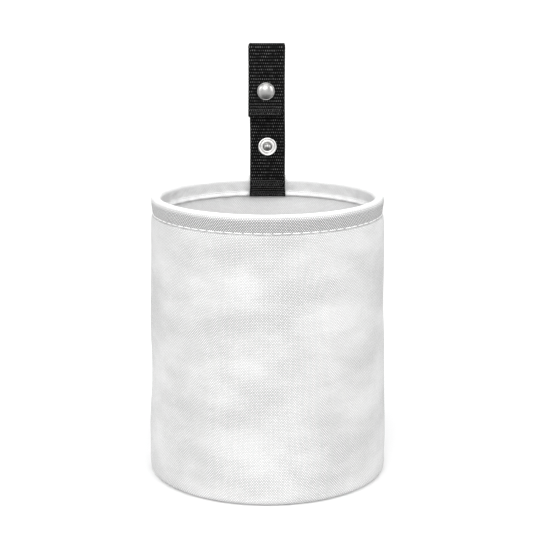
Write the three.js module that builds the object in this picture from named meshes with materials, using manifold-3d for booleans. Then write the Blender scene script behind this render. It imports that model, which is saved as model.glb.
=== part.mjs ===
// A round open-topped bag of heavy woven cloth with a hanging strap closed by a press stud.
//
// Frame: millimetres, +Z up. The origin is the centre of the base, on the floor. The strap is sewn
// inside the rim at the back (+Y) and its folded front layer faces the front (-Y).
// Order below: sizes, materials, shape helpers, the bag, the strap, the press stud, the assembly.

import * as THREE from "three";
import { mergeVertices } from "three/addons/utils/BufferGeometryUtils.js";
import Module from "manifold-3d";

const wasm = await Module();
wasm.setup();

// ---------------------------------------------------------------- driving dimensions

const GAP = 0.3; // left between pieces that touch
const SMALL_GAP = 0.2; // left under a thread

const HEIGHT = 191; // floor to the top of the rim
const RIM_RADIUS = 78; // outside of the rim
const BASE_RADIUS = 81; // outside of the wall at the bottom
const CLOTH = 1.0; // one layer of the bag's cloth
const TAPE = 0.8; // binding and seam tape
const THREAD_RADIUS = 0.3;

const HOOP_ROD_RADIUS = 2.0;
const HEM_DEPTH = 15.3; // rim top to the turned-in edge of the hem
const STITCH_DEPTH = 11.8; // rim top to the hem's row of stitches
const STITCH_DIMPLE = 0.6; // how far the stitches pull the wall in
const CORNER_RADIUS = 4; // middle of the cloth round the bottom edge
const ALLOWANCE_TOP = 9; // turned-up seam allowance at the base

const SEAM_AZIMUTH = THREE.MathUtils.degToRad(97); // side seam, from the front towards -X
const SEAM_TAPE_WIDTH = 14;
const SEAM_ROW_OFFSET = 3.5; // each row of stitches, from the seam

const WEBBING_WIDTH = 25;
const WEBBING = 1.6;
const LOOP_CLEARANCE = 4.7; // between the strap's two layers
const FLAP_SHIFT = -1.1; // the front layer lies a little to one side
const STRAP_TOP = 285.7;
const FLAP_END_Z = 234.1;
const FLAP_HEM_TOP = 244.8; // cut end of the webbing turned under the flap's end
const FOLD_ROOM = 1.2; // bare stretch below the crown, so that the flap's end swings out past it
const MID_BEND_Z = 225.7;
const MID_BEND_GAP = 2.2; // bare stretch that bends between the two rigid lengths
const LOWER_STUD_Z = 212.2;
const UPPER_STUD_Z = 252.3;
const RIM_BEND_START = 5.5; // above the hoop, where the sewn end stops
const RIM_BEND_END = 7; // above the hoop, where the free strap starts

const RING_SEGMENTS = 48;
const SNAP_SEGMENTS = 24;

// ---------------------------------------------------------------- worked-out places

const ROLL_RADIUS = HOOP_ROD_RADIUS + GAP + CLOTH; // outside of the cloth round the hoop
const ROLL_MIDDLE = ROLL_RADIUS - CLOTH / 2;
const HOOP_RING_RADIUS = RIM_RADIUS - ROLL_RADIUS;
const HOOP_Z = HEIGHT - ROLL_RADIUS;
const STITCH_Z = HEIGHT - STITCH_DEPTH;
const HEM_EDGE_Z = HEIGHT - HEM_DEPTH;
const WALL_TOP_MIDDLE = RIM_RADIUS - CLOTH / 2;
const WALL_BASE_MIDDLE = BASE_RADIUS - CLOTH / 2;
const STITCH_MIDDLE = WALL_TOP_MIDDLE - STITCH_DIMPLE; // outer layer where it is pulled in
const HEM_MIDDLE = STITCH_MIDDLE - CLOTH - GAP; // turned-in layer at the stitches
const BULGE_Z = STITCH_Z - 5; // the wall is back at its full radius here
const CORNER_Z = CORNER_RADIUS + CLOTH / 2;

const STRAP_Y = HOOP_RING_RADIUS - ROLL_RADIUS - GAP - WEBBING / 2; // rear layer's middle
const LAYER_PITCH = WEBBING + LOOP_CLEARANCE;
const FLAP_Y = STRAP_Y - LAYER_PITCH;
const CROWN_RADIUS = LAYER_PITCH / 2;
const CROWN_Y = STRAP_Y - CROWN_RADIUS;
const CROWN_Z = STRAP_TOP - WEBBING / 2 - CROWN_RADIUS;

// Radius of the middle of the wall's cloth at a height, between the hem and the bottom corner.
function wallMiddle(z) {
  return THREE.MathUtils.mapLinear(z, CORNER_Z, BULGE_Z, WALL_BASE_MIDDLE, WALL_TOP_MIDDLE);
}

// ---------------------------------------------------------------- materials

function cloth(colour) {
  return new THREE.MeshStandardMaterial({ color: colour, roughness: 0.95, metalness: 0 });
}

function metal(colour, roughness) {
  return new THREE.MeshStandardMaterial({ color: colour, roughness, metalness: 1 });
}

const whiteCloth = () => cloth(0xe9e9e9);
const whiteTape = () => cloth(0xf0f0f0);
const whiteThread = () => cloth(0xf6f6f6);
const blackWebbing = () => cloth(0x1e1e1e);
const blackThread = () => cloth(0x161616);
const nickel = () => metal(0xc4c4c4, 0.35);
const springSteel = () => metal(0x9c9c9c, 0.3);
const hoopPlastic = () =>
  new THREE.MeshStandardMaterial({ color: 0xd8d8d4, roughness: 0.6, metalness: 0 });

// ---------------------------------------------------------------- shape helpers

// Both sides of a sheet of the given thickness whose middle follows the points: one closed outline.
function sheetOutline(points, thickness) {
  const last = points.length - 1;
  const heading = (i) => points[i + 1].clone().sub(points[i]).normalize();
  const side = (sign) =>
    points.map((point, i) => {
      const next = heading(Math.min(i, last - 1));
      const middle = heading(Math.max(i - 1, 0)).add(next).normalize();
      const reach = (sign * thickness) / 2 / middle.dot(next);
      return new THREE.Vector2(point.x - middle.y * reach, point.y + middle.x * reach);
    });
  const outline = [...side(1), ...side(-1).reverse()];
  return THREE.ShapeUtils.isClockWise(outline) ? outline.reverse() : outline;
}

// A ring turned about +Z from a closed outline of (radius, height) points.
function turnedRing(outline) {
  const closed = [...outline, outline[0].clone()];
  return new THREE.LatheGeometry(closed, RING_SEGMENTS).rotateX(Math.PI / 2);
}

// A body turned about local +Y from (radius, height) pairs that start and end on the axis, or that
// close on themselves.
function turnedSnap(pairs) {
  const points = pairs.map(([radius, height]) => new THREE.Vector2(radius, height));
  return new THREE.LatheGeometry(points, SNAP_SEGMENTS);
}

// A strip of webbing whose middle follows (y, z) points, as wide as the strap along X.
function webbingStrip(points) {
  const outline = new THREE.Shape(sheetOutline(points, WEBBING));
  const strip = new THREE.ExtrudeGeometry(outline, { depth: WEBBING_WIDTH, bevelEnabled: false });
  strip.translate(0, 0, -WEBBING_WIDTH / 2);
  const toStrap = new THREE.Matrix4().makeBasis(
    new THREE.Vector3(0, 1, 0),
    new THREE.Vector3(0, 0, 1),
    new THREE.Vector3(1, 0, 0),
  );
  return strip.applyMatrix4(toStrap);
}

// A round thread along a curve.
function threadAlong(curve, steps) {
  const section = new THREE.Shape();
  section.absarc(0, 0, THREAD_RADIUS, 0, 2 * Math.PI);
  const options = { steps, bevelEnabled: false, extrudePath: curve, curveSegments: 3 };
  return new THREE.ExtrudeGeometry(section, options);
}

// Part of a circle about the Z axis, with angles from +X towards +Y.
class RingArc extends THREE.Curve {
  constructor(radius, height, start, end) {
    super();
    Object.assign(this, { radius, height, start, end });
  }
  getPoint(t, target = new THREE.Vector3()) {
    const angle = THREE.MathUtils.lerp(this.start, this.end, t);
    return target.set(this.radius * Math.cos(angle), this.radius * Math.sin(angle), this.height);
  }
}

function toSolid(geometry) {
  const bare = new THREE.BufferGeometry();
  bare.setAttribute("position", geometry.getAttribute("position"));
  if (geometry.index) bare.setIndex(geometry.index);
  const merged = mergeVertices(bare, 1e-4);
  const vertProperties = new Float32Array(merged.attributes.position.array);
  const triVerts = new Uint32Array(merged.index.array);
  return new wasm.Manifold(new wasm.Mesh({ numProp: 3, vertProperties, triVerts }));
}

function toGeometry(solid) {
  const mesh = solid.getMesh();
  const geometry = new THREE.BufferGeometry();
  geometry.setAttribute("position", new THREE.BufferAttribute(mesh.vertProperties, 3));
  geometry.setIndex(new THREE.BufferAttribute(mesh.triVerts, 1));
  geometry.computeVertexNormals();
  return geometry;
}

function cut(geometry, tool) {
  return toGeometry(toSolid(geometry).subtract(toSolid(tool)));
}

// A punched hole through a layer of webbing that lies square to Y.
function punched(geometry, radius, x, y, z) {
  const hole = new THREE.CylinderGeometry(radius, radius, 4 * WEBBING, SNAP_SEGMENTS);
  return cut(geometry, hole.translate(x, y, z));
}

function piece(name, geometry, material) {
  const mesh = new THREE.Mesh(geometry, material);
  mesh.name = name;
  return mesh;
}

// ---------------------------------------------------------------- the bag

// One panel of cloth: its hem turned in over the hoop, the wall, the bottom corner, and the seam
// allowance turned up inside.
function wallPanel() {
  const stitchToHoop = new THREE.Vector2(HOOP_RING_RADIUS - HEM_MIDDLE, HOOP_Z - STITCH_Z);
  const tangentAngle = stitchToHoop.angle() + Math.asin(ROLL_MIDDLE / stitchToHoop.length());
  const hem = new THREE.Path();
  hem.moveTo(HEM_MIDDLE, HEM_EDGE_Z);
  hem.lineTo(HEM_MIDDLE, STITCH_Z);
  hem.absarc(HOOP_RING_RADIUS, HOOP_Z, ROLL_MIDDLE, tangentAngle + Math.PI / 2, 0, true);
  const wall = new THREE.Path();
  wall.moveTo(WALL_TOP_MIDDLE, STITCH_Z + 3);
  wall.lineTo(STITCH_MIDDLE, STITCH_Z);
  wall.lineTo(WALL_TOP_MIDDLE, BULGE_Z);
  const cornerCentre = WALL_BASE_MIDDLE - CORNER_RADIUS;
  wall.absarc(cornerCentre, CORNER_Z, CORNER_RADIUS, 0, -Math.PI / 2, true);
  wall.absarc(cornerCentre, CLOTH / 2 + CLOTH, CLOTH, -Math.PI / 2, -Math.PI, true);
  wall.lineTo(cornerCentre - CLOTH, ALLOWANCE_TOP);
  const ring = turnedRing(sheetOutline([...hem.getPoints(3), ...wall.getPoints(2)], CLOTH));
  const slot = new THREE.BoxGeometry(2 * GAP, 20, 2 * HEIGHT);
  slot.translate(0, -WALL_BASE_MIDDLE + 4, HEIGHT / 2);
  slot.rotateZ(-SEAM_AZIMUTH);
  return cut(ring, slot);
}

// Where the cloths turn up together at the base.
const ALLOWANCE_WALL_MIDDLE = WALL_BASE_MIDDLE - CORNER_RADIUS - CLOTH;
const ALLOWANCE_BASE_MIDDLE = ALLOWANCE_WALL_MIDDLE - CLOTH - GAP;

// A round panel with its edge turned up beside the wall's seam allowance.
function basePanel() {
  const turnCentre = ALLOWANCE_BASE_MIDDLE - CLOTH;
  const path = new THREE.Path();
  path.moveTo(0, CLOTH / 2);
  path.lineTo(turnCentre, CLOTH / 2);
  path.absarc(turnCentre, CLOTH / 2 + CLOTH, CLOTH, -Math.PI / 2, 0, false);
  path.lineTo(ALLOWANCE_BASE_MIDDLE, ALLOWANCE_TOP);
  const outline = sheetOutline(path.getPoints(2), CLOTH);
  const underside = outline.findIndex((point) => point.x === 0 && point.y === 0);
  const ordered = [...outline.slice(underside), ...outline.slice(0, underside)];
  return new THREE.LatheGeometry(ordered, RING_SEGMENTS).rotateX(Math.PI / 2);
}

// Tape folded over the raw edges of both seam allowances.
const BINDING_HALF = CLOTH + GAP / 2 + GAP + TAPE / 2;
const BINDING_MIDDLE = (ALLOWANCE_WALL_MIDDLE + ALLOWANCE_BASE_MIDDLE) / 2;

function baseSeamBinding() {
  const foot = 3.5;
  const path = new THREE.Path();
  path.moveTo(BINDING_MIDDLE - BINDING_HALF, foot);
  path.absarc(BINDING_MIDDLE, ALLOWANCE_TOP - 0.4, BINDING_HALF, Math.PI, 0, true);
  path.lineTo(BINDING_MIDDLE + BINDING_HALF, foot);
  return turnedRing(sheetOutline(path.getPoints(3), TAPE));
}

function ringThread(radius, height) {
  const ring = new THREE.TorusGeometry(radius, THREAD_RADIUS, 6, RING_SEGMENTS);
  return ring.translate(0, 0, height);
}

function baseSeamStitching() {
  const face = BINDING_MIDDLE - BINDING_HALF - TAPE / 2;
  return ringThread(face - SMALL_GAP - THREAD_RADIUS, 5.5);
}

function rimHoop() {
  const ring = new THREE.TorusGeometry(HOOP_RING_RADIUS, HOOP_ROD_RADIUS, 8, RING_SEGMENTS);
  return ring.translate(0, 0, HOOP_Z);
}

function hemStitchingOuter() {
  return ringThread(STITCH_MIDDLE + CLOTH / 2 + SMALL_GAP + THREAD_RADIUS, STITCH_Z);
}

// The row inside the bag lies just below where the hem leans in, and stops at each edge of the strap.
const HEM_FACE = HEM_MIDDLE - CLOTH / 2;
const INNER_ROW_Z = STITCH_Z - THREAD_RADIUS;

function hemStitchingInner() {
  const radius = HEM_FACE - SMALL_GAP - THREAD_RADIUS;
  const halfStrap = (WEBBING_WIDTH / 2 + 1.5) / radius;
  const back = Math.PI / 2;
  const arc = new RingArc(radius, INNER_ROW_Z, back + halfStrap, back + 2 * Math.PI - halfStrap);
  return threadAlong(arc, RING_SEGMENTS);
}

const SEAM_TAPE_FOOT = 13;
const SEAM_TAPE_HEAD = BULGE_Z - 0.5;

function seamTapeFace(z) {
  return wallMiddle(z) - CLOTH / 2 - GAP - TAPE;
}

// A point at a distance round the bag from the side seam.
function besideSeam(offset, radius, z) {
  const angle = SEAM_AZIMUTH + offset / RIM_RADIUS;
  return new THREE.Vector3(-radius * Math.sin(angle), -radius * Math.cos(angle), z);
}

// Tape inside the bag that covers the joint between the wall's two edges.
function sideSeamTape() {
  const length = SEAM_TAPE_HEAD - SEAM_TAPE_FOOT;
  const tape = new THREE.BoxGeometry(SEAM_TAPE_WIDTH, TAPE, length, 4, 1, 1);
  const corners = tape.getAttribute("position");
  for (let i = 0; i < corners.count; i++) {
    const z = corners.getZ(i) + (SEAM_TAPE_HEAD + SEAM_TAPE_FOOT) / 2;
    const radius = seamTapeFace(z) + TAPE / 2 - corners.getY(i);
    const place = besideSeam(-corners.getX(i), radius, z);
    corners.setXYZ(i, place.x, place.y, place.z);
  }
  return tape;
}

function sideSeamStitching(offset) {
  const end = (z) => besideSeam(offset, seamTapeFace(z) - SMALL_GAP - THREAD_RADIUS, z);
  const row = new THREE.LineCurve3(end(SEAM_TAPE_FOOT + 2), end(SEAM_TAPE_HEAD - 2));
  return threadAlong(row, 1);
}

// ---------------------------------------------------------------- the strap

// Middle of the sewn end of the strap, by height: flat on the hem, then over the roll and upright.
const SEWN_LEAN_START = STITCH_Z - 0.6;
const SEWN_LEAN_END = HOOP_Z - 0.9;
const SEWN_FOOT_Y = HEM_FACE - GAP - WEBBING / 2;

function sewnMiddle(z) {
  const lean = THREE.MathUtils.clamp((z - SEWN_LEAN_START) / (SEWN_LEAN_END - SEWN_LEAN_START), 0, 1);
  return THREE.MathUtils.lerp(SEWN_FOOT_Y, STRAP_Y, lean);
}

// How far the sewn end's cloth stands forward at x, where it follows the ring of the rim.
function sewnBow(x, z) {
  const flat = THREE.MathUtils.clamp((HOOP_Z + RIM_BEND_START - z) / (RIM_BEND_START - 1), 0, 1);
  return flat * (HEM_FACE - Math.sqrt(HEM_FACE ** 2 - x ** 2));
}

function strapSewnEnd() {
  const foot = HEM_EDGE_Z - 0.2;
  const head = HOOP_Z + RIM_BEND_START;
  const end = new THREE.BoxGeometry(WEBBING_WIDTH, WEBBING, head - foot, 6, 1, 16);
  const corners = end.getAttribute("position");
  for (let i = 0; i < corners.count; i++) {
    const x = corners.getX(i);
    const z = corners.getZ(i) + (head + foot) / 2;
    corners.setXYZ(i, x, sewnMiddle(z) + corners.getY(i) - sewnBow(x, z), z);
  }
  return end;
}

// One thread that runs to and fro in rows across the strap, lying on the face given by face(x, z).
function rowsOfStitches(bottom, rows, pitch, halfWidth, face) {
  const points = [];
  for (let row = 0; row < rows; row++) {
    const z = bottom + row * pitch;
    const way = row % 2 ? -1 : 1;
    for (const share of [-1, -0.5, 0, 0.5, 1]) {
      const x = way * share * halfWidth;
      points.push(new THREE.Vector3(x, face(x, z) - SMALL_GAP - THREAD_RADIUS, z));
    }
  }
  return threadAlong(new THREE.CatmullRomCurve3(points, false, "centripetal"), rows * 12);
}

function strapFootStitching() {
  const face = (x, z) => sewnMiddle(z) - WEBBING / 2 - sewnBow(x, z);
  return rowsOfStitches(STITCH_Z - 2.2, 4, 2.4, WEBBING_WIDTH / 2 - 2.5, face);
}

const BARREL_HOLE = 1.8;
const SHANK_HOLE = 2.4;

function upright(y, bottom, top) {
  return [new THREE.Vector2(y, bottom), new THREE.Vector2(y, top)];
}

function strapLowerWebbing() {
  const strip = webbingStrip(
    upright(STRAP_Y, HOOP_Z + RIM_BEND_END, MID_BEND_Z - MID_BEND_GAP / 2),
  );
  return punched(strip, BARREL_HOLE, 0, STRAP_Y, LOWER_STUD_Z);
}

function strapUpperWebbing() {
  const strip = webbingStrip(upright(STRAP_Y, MID_BEND_Z + MID_BEND_GAP / 2, CROWN_Z - GAP));
  return punched(strip, BARREL_HOLE, FLAP_SHIFT, STRAP_Y, UPPER_STUD_Z);
}

// The fold over the top, whose inside is what the loop hangs on.
function strapCrownWebbing() {
  const facets = 9; // an odd number leaves one flat facet at the top
  const points = [new THREE.Vector2(STRAP_Y, CROWN_Z - GAP / 2)];
  for (let i = 0; i <= facets; i++) {
    const angle = (i / facets) * Math.PI;
    const y = CROWN_Y + CROWN_RADIUS * Math.cos(angle);
    points.push(new THREE.Vector2(y, CROWN_Z + CROWN_RADIUS * Math.sin(angle)));
  }
  points.push(new THREE.Vector2(FLAP_Y, CROWN_Z - GAP / 2));
  const crown = webbingStrip(points);
  const corners = crown.getAttribute("position");
  for (let i = 0; i < corners.count; i++) {
    const across = (STRAP_Y - corners.getY(i)) / LAYER_PITCH;
    corners.setX(i, corners.getX(i) + FLAP_SHIFT * THREE.MathUtils.clamp(across, 0, 1));
  }
  return crown;
}

// The front layer, with its cut end turned under and up behind it.
function strapFlapWebbing() {
  const turn = WEBBING / 2 + GAP / 2;
  const path = new THREE.Path();
  path.moveTo(FLAP_Y, CROWN_Z - GAP / 2 - FOLD_ROOM);
  path.lineTo(FLAP_Y, FLAP_END_Z + WEBBING);
  path.absarc(FLAP_Y + turn, FLAP_END_Z + WEBBING, turn, Math.PI, 2 * Math.PI, false);
  path.lineTo(FLAP_Y + 2 * turn, FLAP_HEM_TOP);
  return punched(webbingStrip(path.getPoints(3)), SHANK_HOLE, 0, FLAP_Y, UPPER_STUD_Z);
}

function flapEndStitching() {
  const face = () => FLAP_Y - WEBBING / 2;
  return rowsOfStitches(FLAP_END_Z + 2.6, 3, 2.6, WEBBING_WIDTH / 2 - 2.5, face);
}

// ---------------------------------------------------------------- the press stud
// Heights are measured out from the face of the webbing that each piece lies on.

const STUD_RADIUS = 6.5;
const KNOB_RADIUS = 2.85;
const NECK_RADIUS = 2.5;
const SOCKET_RADIUS = 6.0;
const CAP_RADIUS = 6.1;
const POST_RADIUS = 6.0;
const SOCKET_BORE = 3.25;

// The male half: a flange with a hollow knob.
function stud() {
  return turnedSnap([
    [0, 2.7],
    [BARREL_HOLE, 2.7],
    [BARREL_HOLE, GAP],
    [STUD_RADIUS - 0.2, GAP],
    [STUD_RADIUS, 0.7],
    [STUD_RADIUS - 0.4, 1.2],
    [STUD_RADIUS - 1.2, 1.1],
    [NECK_RADIUS + 0.3, 1.1],
    [NECK_RADIUS, 1.4],
    [NECK_RADIUS, 1.9],
    [KNOB_RADIUS, 2.5],
    [KNOB_RADIUS - 0.15, 2.9],
    [KNOB_RADIUS - 0.8, 3.2],
    [0, 3.3],
  ]);
}

// The rivet behind a stud: a flange on the back of the webbing and a barrel through it.
function studPost() {
  const back = -WEBBING - GAP;
  const barrel = BARREL_HOLE - GAP;
  return turnedSnap([
    [0, back - 0.8],
    [POST_RADIUS - 0.4, back - 0.8],
    [POST_RADIUS, back - 0.4],
    [POST_RADIUS - 0.2, back],
    [barrel, back],
    [barrel, 2.4],
    [0, 2.4],
  ]);
}

// The female half: a cup whose groove holds the spring.
function snapSocket() {
  const groove = SOCKET_BORE + 1.05;
  return turnedSnap([
    [SHANK_HOLE, GAP],
    [SOCKET_RADIUS - 0.3, GAP],
    [SOCKET_RADIUS, 0.7],
    [SOCKET_RADIUS, 2.6],
    [SOCKET_RADIUS - 0.5, 3.2],
    [SOCKET_BORE, 3.2],
    [SOCKET_BORE, 2.9],
    [groove, 2.9],
    [groove, 1.9],
    [SOCKET_BORE, 1.9],
    [SOCKET_BORE, 1.0],
    [SHANK_HOLE, 1.0],
    [SHANK_HOLE, GAP],
  ]);
}

// An open wire ring that grips the stud's neck. It lies in the plane square to local +Z.
function socketSpring() {
  const wireRadius = 0.28;
  const ringRadius = 3.1;
  const opening = THREE.MathUtils.degToRad(50);
  const section = new THREE.Shape();
  section.absarc(0, 0, wireRadius, 0, 2 * Math.PI);
  const arc = new RingArc(ringRadius, 0, opening / 2, 2 * Math.PI - opening / 2);
  const options = { steps: 24, bevelEnabled: false, extrudePath: arc, curveSegments: 3 };
  return new THREE.ExtrudeGeometry(section, options);
}

// The cap on the front: a low dome with a shank riveted into the socket.
function snapCap() {
  const shank = SHANK_HOLE - GAP;
  const rimHeight = 0.8;
  const crownHeight = 2.7;
  const dome = [];
  const steps = 6;
  for (let i = 0; i <= steps; i++) {
    const angle = (i / steps) * (Math.PI / 2);
    const radius = i === steps ? 0 : CAP_RADIUS * Math.cos(angle);
    dome.push([radius, rimHeight + (crownHeight - rimHeight) * Math.sin(angle)]);
  }
  const shankEnd = -WEBBING - 1.1;
  return turnedSnap([[0, shankEnd], [shank, shankEnd], [shank, GAP], [CAP_RADIUS - 0.3, GAP], ...dome]);
}

// Faces local +Y forward (-Y) from a face of the webbing.
function facingForward(mesh, x, y, z) {
  mesh.position.set(x, y, z);
  mesh.rotation.x = Math.PI;
  return mesh;
}

// ---------------------------------------------------------------- the assembly

function bag() {
  const group = new THREE.Group();
  group.add(
    piece("wall_panel", wallPanel(), whiteCloth()),
    piece("base_panel", basePanel(), whiteCloth()),
    piece("rim_hoop", rimHoop(), hoopPlastic()),
    piece("hem_stitching_outer", hemStitchingOuter(), whiteThread()),
    piece("hem_stitching_inner", hemStitchingInner(), whiteThread()),
    piece("base_seam_binding", baseSeamBinding(), whiteTape()),
    piece("base_seam_stitching", baseSeamStitching(), whiteThread()),
    piece("side_seam_tape", sideSeamTape(), whiteTape()),
    piece("side_seam_stitching_front", sideSeamStitching(-SEAM_ROW_OFFSET), whiteThread()),
    piece("side_seam_stitching_rear", sideSeamStitching(SEAM_ROW_OFFSET), whiteThread()),
    piece("strap_sewn_end", strapSewnEnd(), blackWebbing()),
    piece("strap_foot_stitching", strapFootStitching(), blackThread()),
  );
  return group;
}

// A stud and its post on the rear layer of the strap.
function studPair(prefix, x, z) {
  const front = STRAP_Y - WEBBING / 2;
  return [
    facingForward(piece(prefix + "_stud", stud(), nickel()), x, front, z),
    facingForward(piece(prefix + "_stud_post", studPost(), nickel()), x, front, z),
  ];
}

function lowerStrap() {
  const group = new THREE.Group();
  group.add(piece("strap_webbing_lower", strapLowerWebbing(), blackWebbing()));
  group.add(...studPair("lower", 0, LOWER_STUD_Z));
  return group;
}

function upperStrap() {
  const group = new THREE.Group();
  group.add(
    piece("strap_webbing_upper", strapUpperWebbing(), blackWebbing()),
    piece("strap_webbing_crown", strapCrownWebbing(), blackWebbing()),
    ...studPair("upper", FLAP_SHIFT, UPPER_STUD_Z),
  );
  return group;
}

function flap() {
  const group = new THREE.Group();
  const springDepth = 2.5; // from the webbing to the middle of the socket's groove
  const socket = piece("snap_socket", snapSocket(), nickel());
  socket.position.set(0, FLAP_Y + WEBBING / 2, UPPER_STUD_Z);
  const spring = piece("socket_spring", socketSpring(), springSteel());
  spring.position.set(0, FLAP_Y + WEBBING / 2 + springDepth, UPPER_STUD_Z);
  spring.rotation.x = Math.PI / 2;
  const cap = piece("snap_cap", snapCap(), nickel());
  group.add(
    piece("strap_webbing_flap", strapFlapWebbing(), blackWebbing()),
    piece("flap_end_stitching", flapEndStitching(), blackThread()),
    facingForward(cap, 0, FLAP_Y - WEBBING / 2, UPPER_STUD_Z),
    socket,
    spring,
  );
  return group;
}

const part = new THREE.Group();
const flapGroup = flap();
flapGroup.position.x = FLAP_SHIFT;
part.add(bag(), lowerStrap(), upperStrap(), flapGroup);

export default part;
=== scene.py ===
# A round bag of heavy white cloth with a black webbing strap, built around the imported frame.
#
# Lengths are metres, +Z up. The strap is at the back (+Y) and the camera looks from the front (-Y).
# Order: places from the frame, shape helpers, materials, the bag's cloth, the strap, the press stud,
# every piece with its body and CAD nodes, the stage.

import math
import random

import bpy
import numpy as np
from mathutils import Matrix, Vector


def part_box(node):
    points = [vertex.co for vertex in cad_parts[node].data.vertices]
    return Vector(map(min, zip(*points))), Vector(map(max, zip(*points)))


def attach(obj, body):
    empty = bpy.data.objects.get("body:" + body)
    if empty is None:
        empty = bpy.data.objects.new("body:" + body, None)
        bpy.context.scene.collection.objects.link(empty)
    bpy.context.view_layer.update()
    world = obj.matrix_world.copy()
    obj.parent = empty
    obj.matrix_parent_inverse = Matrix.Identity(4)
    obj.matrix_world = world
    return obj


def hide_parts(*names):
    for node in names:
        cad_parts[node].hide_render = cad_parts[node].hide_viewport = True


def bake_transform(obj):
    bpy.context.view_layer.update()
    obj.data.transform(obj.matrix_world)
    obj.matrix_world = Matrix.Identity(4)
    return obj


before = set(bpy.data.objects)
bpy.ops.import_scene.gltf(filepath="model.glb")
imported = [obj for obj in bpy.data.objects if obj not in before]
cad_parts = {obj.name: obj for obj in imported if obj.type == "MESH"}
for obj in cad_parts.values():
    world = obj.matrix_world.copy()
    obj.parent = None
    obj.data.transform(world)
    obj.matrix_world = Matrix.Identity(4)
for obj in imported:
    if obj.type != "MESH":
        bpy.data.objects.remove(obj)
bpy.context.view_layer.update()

MM = 0.001
dice = random.Random(21)

# ---- places from the frame


def middle_of(node):
    low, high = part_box(node)
    return (low + high) / 2


def size_of(node):
    low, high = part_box(node)
    return high - low


HOOP_Z = middle_of("rim_hoop").z
HOOP_ROD = size_of("rim_hoop").z / 2
HOOP_RING = size_of("rim_hoop").x / 2 - HOOP_ROD
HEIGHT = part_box("wall_panel")[1].z
BASE_RADIUS = size_of("wall_panel").x / 2
ROLL = HEIGHT - HOOP_Z  # outside of the cloth rolled round the hoop
RIM_RADIUS = HOOP_RING + ROLL
HOOP_GAP = 0.3 * MM  # between the hoop and the cloth round it
CLOTH = ROLL - HOOP_ROD - HOOP_GAP
THREAD = size_of("hem_stitching_outer").z / 2
STITCH_Z = middle_of("hem_stitching_outer").z
STRAP_OVERHANG = 0.2 * MM  # how far the strap's foot passes the hem's edge
HEM_EDGE_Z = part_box("strap_sewn_end")[0].z + STRAP_OVERHANG
ALLOWANCE_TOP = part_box("base_panel")[1].z
BINDING_LOW, BINDING_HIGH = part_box("base_seam_binding")
BINDING_OUTER = BINDING_HIGH.x
BASE_STITCH_RING = size_of("base_seam_stitching").x / 2 - THREAD
BASE_STITCH_Z = middle_of("base_seam_stitching").z

SEAM_MIDDLE = middle_of("side_seam_tape")
SEAM_AZIMUTH = math.atan2(SEAM_MIDDLE.y, SEAM_MIDDLE.x)
SEAM_TAPE_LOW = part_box("side_seam_tape")[0].z
SEAM_TAPE_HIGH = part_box("side_seam_tape")[1].z

REAR_Y = middle_of("strap_webbing_lower").y
WEBBING_WIDTH = size_of("strap_webbing_lower").x
WEBBING = size_of("strap_webbing_lower").y
STRAP_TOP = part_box("strap_webbing_crown")[1].z
FRONT_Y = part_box("strap_webbing_flap")[0].y + WEBBING / 2
FLAP_X = middle_of("strap_webbing_flap").x
FLAP_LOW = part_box("strap_webbing_flap")[0].z
CROWN = (REAR_Y - FRONT_Y) / 2  # radius of the webbing's middle over the top of the loop
CROWN_Z = STRAP_TOP - WEBBING / 2 - CROWN
LOWER_STUD = middle_of("lower_stud")
UPPER_STUD = middle_of("upper_stud")
CAP_MIDDLE = middle_of("snap_cap")


# ---- shape helpers


def arc(centre, radius, start, end, steps):
    """Points round part of a circle, with its angles in degrees."""
    turn = np.radians(np.linspace(start, end, steps + 1))
    return np.column_stack([centre[0] + radius * np.cos(turn), centre[1] + radius * np.sin(turn)])


def rounded(points, times=3):
    """The line with its corners cut off again and again, which leaves a smooth curve."""
    points = np.asarray(points, float)
    for _ in range(times):
        start, end = points[:-1], points[1:]
        inner = np.empty((2 * len(start), points.shape[1]))
        inner[0::2] = 0.75 * start + 0.25 * end
        inner[1::2] = 0.25 * start + 0.75 * end
        points = np.vstack([points[:1], inner, points[-1:]])
    return points


def distances(points):
    """How far along the line each of its points is."""
    steps = np.linalg.norm(np.diff(points, axis=0), axis=1)
    return np.concatenate([[0], np.cumsum(steps)])


def at_distances(points, wanted):
    travelled = distances(points)
    return np.column_stack([np.interp(wanted, travelled, column) for column in points.T])


def on_line(line, travelled, travel):
    """The line's points at these distances along it, and the direction square to it at each: four
    arrays, two for the points' parts and two for the directions'."""
    slope = np.gradient(line, travelled, axis=0)
    parts = [np.interp(travel, travelled, column) for column in (*line.T, *slope.T)]
    size = np.hypot(parts[2], parts[3])
    return parts[0], parts[1], -parts[3] / size, parts[2] / size


def spaced(start, end, step):
    return np.linspace(start, end, max(2, int(round((end - start) / step)) + 1))


def bump_at(value, centre, width):
    """1 at the centre, falling smoothly to nothing over about twice the width."""
    return np.exp(-(((value - centre) / width) ** 2))


def ease(value, start, end):
    """0 before start, 1 after end, smooth between."""
    share = np.clip((value - start) / (end - start), 0, 1)
    return share * share * (3 - 2 * share)


def new_piece(name, vertices, faces, material, uv=None):
    """A smooth mesh object. uv holds a pair for each corner of each face, in the faces' order."""
    mesh = bpy.data.meshes.new(name)
    mesh.from_pydata(np.asarray(vertices).tolist(), [], [list(map(int, face)) for face in faces])
    if uv is not None:
        layer = mesh.uv_layers.new(name="weave")
        layer.data.foreach_set("uv", np.asarray(uv, np.float32).ravel())
    mesh.shade_smooth()
    mesh.materials.append(material)
    piece = bpy.data.objects.new(name, mesh)
    bpy.context.scene.collection.objects.link(piece)
    return piece


FAR_SIDE = 1.0  # added to u on a sheet's far side, so that its material can tell the sides apart


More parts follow.
